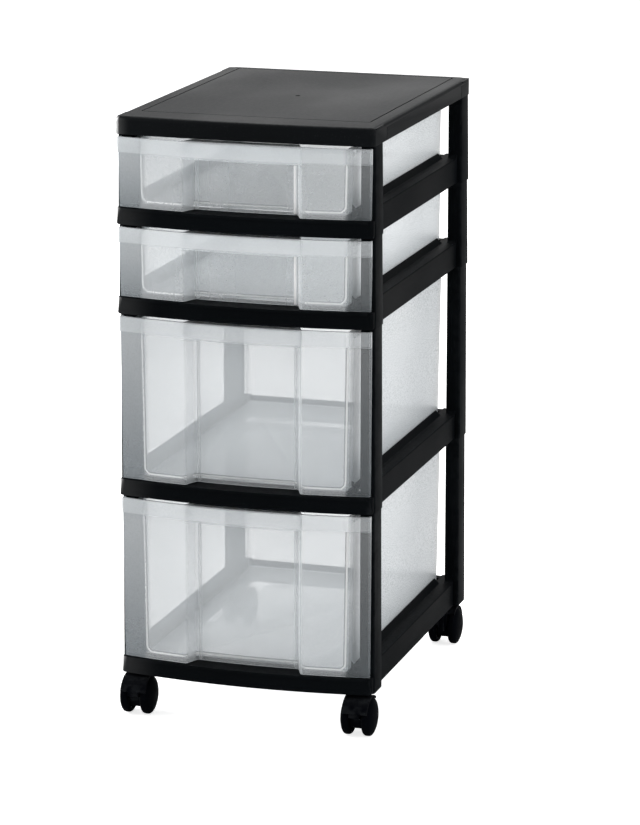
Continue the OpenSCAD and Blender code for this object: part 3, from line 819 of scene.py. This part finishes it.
@dataclass
class Finishes:
    """The finishes of the tower, one for each kind of piece. Each drawer also has its own."""

    frame: bpy.types.Material = field(default_factory=lambda: MouldedBlack("black_frame").build())
    lid: bpy.types.Material = field(default_factory=lambda: MouldedBlack(
        "black_lid", gloss=0.05, dust_amount=0.14, scratch_amount=0.3).build())
    seam: bpy.types.Material = field(default_factory=lambda: RollClear(
        "frosted_seam", colour=(0.95, 0.965, 0.97), cloud=(0.9, 0.93, 0.94), painted_foot_shade=(0.9, 0.93, 0.94),
        cover=(0.5, 0.6), roughness=(0.14, 0.2), gloss=0.8).build())
    # painted highlight: a white, nearly opaque roll for the shine along the front's inner corner
    painted_highlight: bpy.types.Material = field(default_factory=lambda: RollClear(
        "clear_edge", colour=(1.0, 1.0, 1.0), cloud=(0.97, 0.98, 0.985), painted_foot_shade=(1.0, 1.0, 1.0),
        cover=(0.8, 0.9), painted_light_left_cover=0.0, painted_shade_right_cover=0.0, roughness=(0.1, 0.16), gloss=1.0).build())
    # painted highlight: a white, nearly opaque, part-metal roll for the glint on a recess edge
    glint: bpy.types.Material = field(default_factory=lambda: RollClear(
        "glinting_edge", colour=(1.0, 1.0, 1.0), cloud=(0.97, 0.98, 0.985), painted_foot_shade=(1.0, 1.0, 1.0),
        cover=(0.9, 0.95), roughness=(0.3, 0.34), gloss=1.0, glint=0.35, frost_depth=0.0).build())
    # painted shade: a dark roll along the crease beside the painted highlight behind the front
    crease: bpy.types.Material = field(default_factory=lambda: RollClear(
        "shaded_crease", colour=(0.34, 0.36, 0.375), cloud=(0.3, 0.32, 0.335),
        painted_foot_shade=(0.3, 0.32, 0.335), cover=(0.45, 0.55), gloss=0.2).build())
    caster: bpy.types.Material = field(default_factory=lambda: MouldedBlack(
        "black_caster", colour=(0.0012, 0.0014, 0.0022), roughness=(0.34, 0.46), gloss=0.004,
        flank_gloss=0.02, grain_depth=0.00002).build())
    steel: bpy.types.Material = field(default_factory=lambda: PlatedSteel("plated_steel").build())


# ---- Mouldings ------------------------------------------------------------------------------


# The outer edges of the front rails' ends lie past this X, before this Y, and are higher than this
RAIL_END_X = 128.5 * MM
RAIL_END_Y = -163.0 * MM
RAIL_END_HEIGHT = 8.0 * MM
UPRIGHT_DRIFT = 0.1 * MM


@dataclass
class Moulding:
    """A moulded piece: its solid with merged faces, fine rounded edges and smooth curves."""

    node: str
    body: str
    slot: Slot
    material: bpy.types.Material
    edge: float
    end_r: float = 0.0
    crease_deg: float = 32.0
    flat_deg: float = 0.3
    merge: float = 0.002 * MM
    edge_segments: int = 2
    end_segments: int = 5

    def make(self, frame: dict) -> None:
        """Makes the piece from its solid, and lets it stand for it.
        """
        mesh = frame["nodes"][self.node].data.copy()
        self._clean(mesh)
        piece = bpy.data.objects.new(f"{self.node}_moulding", mesh)
        bpy.context.scene.collection.objects.link(piece)
        mesh.materials.clear()
        mesh.materials.append(self.material)
        bevel = piece.modifiers.new("edges", "BEVEL")
        bevel.width = self.edge
        bevel.segments = self.edge_segments
        bevel.limit_method = "ANGLE"
        bevel.angle_limit = math.radians(self.crease_deg)
        bevel.harden_normals = True
        bevel.miter_outer = "MITER_ARC"
        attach(piece, self.body)
        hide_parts(self.node)
        log.info("%s rides on %s", piece.name, self.body)

    def _round_ends(self, work: bmesh.types.BMesh) -> None:
        """Rounds the upright outer edges at the two ends of the front rail.

        Args:
            work: The piece's merged mesh.
        """
        chosen = []
        for edge in work.edges:
            a, b = (v.co for v in edge.verts)
            drift = max(abs(a.x - b.x), abs(a.y - b.y))
            upright = abs(a.z - b.z) > RAIL_END_HEIGHT and drift < UPRIGHT_DRIFT
            if upright and abs(a.x) > RAIL_END_X and a.y < RAIL_END_Y:
                chosen.append(edge)
        bmesh.ops.bevel(work, geom=chosen, offset=self.end_r, segments=self.end_segments,
                        affect="EDGES", profile=0.5)
        log.info("%s: %d rail ends rounded", self.node, len(chosen))

    def _clean(self, mesh: bpy.types.Mesh) -> None:
        """Merges the solid's loose triangles into flat faces and shades its curves smooth.

        Args:
            mesh: The copied mesh.
        """
        work = bmesh.new()
        work.from_mesh(mesh)
        bmesh.ops.remove_doubles(work, verts=work.verts, dist=self.merge)
        flat = math.radians(self.flat_deg)
        bmesh.ops.dissolve_limit(work, angle_limit=flat, verts=work.verts, edges=work.edges)
        if self.end_r:
            self._round_ends(work)
        for face in work.faces:
            face.smooth = True
        crease = math.radians(self.crease_deg)
        for edge in work.edges:
            edge.smooth = len(edge.link_faces) == 2 and edge.calc_face_angle(0.0) < crease
        work.to_mesh(mesh)
        work.free()


@dataclass
class PathRoll:
    """A thin round moulding that follows a path, made with Geometry Nodes."""

    name: str
    body: str
    slot: Slot
    material: bpy.types.Material
    points: Path
    radius: float
    corner: float
    spacing: float = 3.0 * MM
    sides: int = 8

    def make(self) -> None:
        """Makes the moulding and lets it ride on its body."""
        mesh = bpy.data.meshes.new(f"{self.name}_path")
        count = len(self.points)
        mesh.from_pydata(self.points, [(i, i + 1) for i in range(count - 1)], [])
        path = bpy.data.objects.new(f"{self.name}_path", mesh)
        bpy.context.scene.collection.objects.link(path)
        bake(path, self._nodes(), self.name, self.body)

    def _nodes(self) -> Tree:
        """Builds the tree: the path gets round corners, an even spacing and a round section.

        Returns:
            The Geometry Nodes tree.
        """
        tree, given, out = start_geometry(self.name)
        curve = tree.nodes.new("GeometryNodeMeshToCurve")
        fillet = tree.nodes.new("GeometryNodeFilletCurve")
        fillet.inputs["Radius"].default_value = self.corner
        even = tree.nodes.new("GeometryNodeResampleCurve")
        even.mode = "LENGTH"
        even.inputs["Length"].default_value = self.spacing
        section = tree.nodes.new("GeometryNodeCurvePrimitiveCircle")
        section.inputs["Resolution"].default_value = self.sides
        section.inputs["Radius"].default_value = self.radius
        sweep = tree.nodes.new("GeometryNodeCurveToMesh")
        sweep.inputs["Fill Caps"].default_value = True
        smooth = tree.nodes.new("GeometryNodeSetShadeSmooth")
        chain(tree, given.outputs[0], (curve, "Mesh", "Curve"), (fillet, "Curve", "Curve"),
              (even, "Curve", "Curve"), (sweep, "Curve", "Mesh"), (smooth, "Geometry", "Geometry"),
              *finish_nodes(tree, self.material), end=out.inputs[0])
        tree.links.new(section.outputs["Curve"], sweep.inputs["Profile Curve"])
        return tree


DEEP_FROM = 100.0


@dataclass(frozen=True)
class DrawerShape:
    """The main sizes of a drawer, in mm, as the part's source has them."""

    name: str
    tier: float
    tier_height: float
    wall: float = 2.0
    floor_above_tier: float = 20.8
    front_above_tier: float = 17.5
    rim_below_top: float = 2.7
    floor_half: float = 105.2
    back: float = 160.5
    draft: float = 0.01396
    panel: float = -175.0
    bow: float = 12.0
    rail_half: float = 129.0
    recess_half: float = 60.0
    recess_blend: float = 9.0
    recess_depth: float = 16.0
    recess_spread: float = 0.6

    @property
    def is_deep(self) -> bool:
        """Whether it is one of the two deep drawers."""
        return self.tier_height > DEEP_FROM

    @property
    def floor(self) -> float:
        """The level of the floor's underside."""
        return self.tier + self.floor_above_tier

    @property
    def front_foot(self) -> float:
        """The level of the front's lower edge."""
        return self.tier + self.front_above_tier

    @property
    def rim(self) -> float:
        """The level of the rim."""
        return self.tier + self.tier_height - self.rim_below_top

    def half(self, z: float) -> float:
        """Half the tub's outer width at a level.

        Args:
            z: The level.

        Returns:
            Half the width.
        """
        return self.floor_half + self.draft * (z - self.floor)

    def front(self, x: float, depth: float) -> float:
        """Where the drawer's front lies, with the hand recess.

        Args:
            x: The distance from the middle.
            depth: How far into the wall.

        Returns:
            The Y of that place.
        """
        reach = self.recess_half + self.recess_spread * depth
        share = min(1.0, max(0.0, (reach - abs(x)) / self.recess_blend))
        recess = self.recess_depth * share * share * (3.0 - 2.0 * share)
        return self.panel + self.bow * (x / self.rail_half) ** 2 + recess + depth


@dataclass
class DrawerTrim:
    """Rolls along a drawer's seams: behind its front, under its rim and on its hand recess.

    The roll behind the front is a painted highlight with a dark roll of painted shade beside it,
    and the right recess edge of a shallow drawer is a painted highlight too.

    All the lengths are in mm.
    """

    shape: DrawerShape
    finishes: Finishes
    wall_finish: bpy.types.Material
    seam_r: float = 1.0
    crease_r: float = 0.55
    crease_inset: float = 1.5
    roll_r: float = 0.8
    roll_tuck: float = 0.7
    roll_start: float = 12.0
    edge_r: float = 1.8
    edge_inset: float = 1.5
    inner_r: float = 4.5
    corner_r: float = 8.0
    seam_below_rim: float = 16.0
    edge_below_rim: float = 20.0
    seam_steps: int = 48
    edge_steps: int = 4

    def make(self) -> None:
        """Makes the painted highlight and painted-shade crease behind the front, the rim roll and the
        recess's upright edges.
        """
        looks, inner = self.finishes, self.inner_r
        inset = self.crease_inset
        # painted highlight along the front's inner corner, and beside it a dark roll of painted shade
        self._roll("front_seam", looks.painted_highlight, self._seam_path(0.0), self.seam_r, inner)
        self._roll("front_crease", looks.crease, self._seam_path(inset), self.crease_r, inner - inset)
        self._roll("rim_roll", looks.seam, self._rim_path(), self.roll_r, self.corner_r)
        # painted highlight on the right recess edge of the shallow drawers only; the deep drawers and
        # every left edge keep the wall's finish
        right = self.wall_finish if self.shape.is_deep else looks.glint
        self._roll("left_recess_edge", self.wall_finish, self._recess_path(-1), self.edge_r, self.edge_r)
        self._roll("right_recess_edge", right, self._recess_path(1), self.edge_r, self.edge_r)

    def _roll(self, what: str, finish: bpy.types.Material, path: Path, radius: float,
              corner: float) -> None:
        """Makes one roll.

        Args:
            what: The roll's name.
            finish: Its material.
            path: Its points, in mm.
            radius: Its radius, in mm.
            corner: The radius of its path's corners, in mm.
        """
        points = [(MM * x, MM * y, MM * z) for x, y, z in path]
        name = self.shape.name
        PathRoll(f"{name}_{what}", name, Slot.DRAWER, finish, points, MM * radius, MM * corner).make()

    def _seam_path(self, inset: float) -> Path:
        """The corner between the front and the tub: down one side, along the floor and up.

        Args:
            inset: How far inside the tub's corner the path runs.

        Returns:
            The path's points.
        """
        d = self.shape
        gap = self.seam_r + inset
        low, high = d.floor + d.wall + gap, d.rim - self.seam_below_rim
        x0, x1 = d.half(low) - d.wall - gap, d.half(high) - d.wall - gap
        depth = d.wall + 0.5 * self.seam_r
        half = self.seam_steps // 2
        line = [(x, d.front(x, depth), low) for x in (x0 * (i / half - 1) for i in range(2 * half + 1))]
        return [(-x1, d.front(x1, depth), high), *line, (x1, d.front(x1, depth), high)]

    def _recess_path(self, side: int) -> Path:
        """The upright edge of the hand recess at one side.

        Args:
            side: -1 for the left edge, 1 for the right one.

        Returns:
            The path's points.
        """
        d = self.shape
        x = side * (d.recess_half - d.recess_blend - self.edge_inset)
        y = d.front(x, 0.5 * self.edge_r)
        low, high = d.front_foot + 0.5 * d.wall, d.rim - self.edge_below_rim
        steps = range(self.edge_steps + 1)
        return [(x, y, low + (high - low) * i / self.edge_steps) for i in steps]

    def _rim_path(self) -> Path:
        """The corner under the rim: back along one side, across the back and to the front."""
        d = self.shape
        tuck = self.roll_tuck * self.roll_r
        z = d.rim - d.wall - tuck
        x, start = d.half(z) + tuck, d.front(d.half(z), self.roll_start)
        back = d.back + d.draft * (z - d.floor) + tuck
        return [(-x, start, z), (-x, back, z), (x, back, z), (x, start, z)]


def start_geometry(name: str) -> tuple[Tree, Node, Node]:
    """Makes an empty Geometry Nodes tree.

    Args:
        name: The tree's name.

    Returns:
        The tree, its input node and its output node.
    """
    tree = bpy.data.node_groups.new(name, "GeometryNodeTree")
    tree.interface.new_socket("Geometry", in_out="INPUT", socket_type="NodeSocketGeometry")
    tree.interface.new_socket("Geometry", in_out="OUTPUT", socket_type="NodeSocketGeometry")
    return tree, tree.nodes.new("NodeGroupInput"), tree.nodes.new("NodeGroupOutput")


def chain(tree: Tree, source: Socket, *steps: Step, end: Socket) -> None:
    """Joins nodes one after another.

    Args:
        tree: The tree.
        source: The output that feeds the first node.
        steps: Each node with the names of its input and its output.
        end: The input that takes the last output.
    """
    for node, enter, leave in steps:
        tree.links.new(source, node.inputs[enter])
        source = node.outputs[leave]
    tree.links.new(source, end)


def finish_nodes(tree: Tree, material: bpy.types.Material) -> list[Step]:
    """The last nodes of every tree: Realize Instances and Set Material.

    Args:
        tree: The tree.
        material: The piece's material.

    Returns:
        The two steps for chain().
    """
    real = tree.nodes.new("GeometryNodeRealizeInstances")
    coat = tree.nodes.new("GeometryNodeSetMaterial")
    coat.inputs["Material"].default_value = material
    return [(real, "Geometry", "Geometry"), (coat, "Geometry", "Geometry")]


def bake(source: bpy.types.Object, tree: Tree, name: str, body: str) -> None:
    """Turns an object with a Geometry Nodes tree into a plain mesh that rides on a body.

    Args:
        source: The object that feeds the tree. It is removed.
        tree: The tree.
        name: The finished piece's name.
        body: The body it rides on.
    """
    modifier = source.modifiers.new("shape", "NODES")
    modifier.node_group = tree
    bpy.context.view_layer.update()
    ready = source.evaluated_get(bpy.context.evaluated_depsgraph_get())
    mesh = bpy.data.meshes.new_from_object(ready)
    source.modifiers.remove(modifier)
    bpy.data.objects.remove(source)
    mesh.name = name
    piece = bpy.data.objects.new(name, mesh)
    bpy.context.scene.collection.objects.link(piece)
    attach(piece, body)
    log.info("%s has %d faces", name, len(mesh.polygons))


@dataclass
class Tower:
    """The lid, the tier frames and the drawers."""

    finishes: Finishes
    lid_edge: float = 0.8 * MM
    frame_edge: float = 0.6 * MM
    rail_end_r: float = 2.4 * MM
    drawer_edge: float = 0.35 * MM
    tiers: tuple[str, ...] = ("top_tier_frame", "upper_tier_frame", "lower_tier_frame", "base_tier_frame")
    drawers: tuple[DrawerShape, ...] = (
        DrawerShape("top_shallow_drawer", 495.0, 88.0), DrawerShape("second_shallow_drawer", 407.0, 88.0),
        DrawerShape("upper_deep_drawer", 225.0, 182.0), DrawerShape("bottom_deep_drawer", 43.0, 182.0))

    def build(self, frame: dict) -> None:
        """Makes the lid, the tier frames and the drawers.
        """
        looks = self.finishes
        Moulding("top_cap", FRAME_BODY, Slot.FRAME, looks.lid, self.lid_edge).make(frame)
        for tier in self.tiers:
            ring = Moulding(tier, FRAME_BODY, Slot.FRAME, looks.frame, self.frame_edge, self.rail_end_r)
            ring.make(frame)
        for drawer in self.drawers:
            finish = self._drawer_finish(drawer)
            Moulding(drawer.name, drawer.name, Slot.DRAWER, finish, self.drawer_edge).make(frame)
            DrawerTrim(drawer, looks, finish).make()

    @staticmethod
    def _drawer_finish(drawer: DrawerShape) -> bpy.types.Material:
        """Makes a drawer's own finish, whose masks follow its height. The deep drawers get a darker
        copy of the plastic and the shallow ones a lighter one: painted light and shade.

        Args:
            drawer: The drawer's sizes.

        Returns:
            The material.
        """
        place = {"foot": MM * drawer.front_foot, "height": MM * (drawer.rim - drawer.front_foot)}
        name = f"frosted_{drawer.name}"
        if drawer.is_deep:
            # painted shade: a darker copy of the plastic, with darker painted shade at the foot and more
            # cover on the left end
            return FrostedClear(name, colour=(0.72, 0.75, 0.768), cloud=(0.68, 0.714, 0.736),
                                painted_foot_shade=(0.33, 0.365, 0.39), painted_light_left_cover=0.15, passed=0.4, **place).build()
        # painted light: the lighter copy of the plastic, with less cover on the right end as painted
        # shade
        return FrostedClear(name, cover=(0.25, 0.265), passed=0.6, painted_shade_right_cover=-0.13, **place).build()


@dataclass
class Caster:
    """One twin-wheel swivel caster."""

    corner: Corner
    finishes: Finishes
    edge: float = 0.3 * MM

    def build(self, frame: dict) -> None:
        """Dresses the caster's pieces. The steel ones keep their solids.
        """
        name = f"{self.corner.value}_caster"
        Moulding(f"{name}_housing", name, Slot.CASTER, self.finishes.caster, self.edge).make(frame)
        for wheel in ("outer", "inner"):
            node = f"{name}_{wheel}_wheel"
            Moulding(node, node, Slot.CASTER, self.finishes.caster, self.edge).make(frame)
        for part in ("stem", "grip_ring", "axle"):
            mesh = frame["nodes"][f"{name}_{part}"].data
            mesh.materials.clear()
            mesh.materials.append(self.finishes.steel)


def main() -> None:
    """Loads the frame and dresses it."""
    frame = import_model()
    Camera().build()
    Studio().build()
    bpy.context.scene.view_settings.view_transform = "Standard"
    finishes = Finishes()
    Tower(finishes).build(frame)
    for corner in Corner:
        Caster(corner, finishes).build(frame)


if __name__ == "__main__":
    logging.basicConfig(level=logging.INFO, format="%(name)s: %(message)s")
    main()
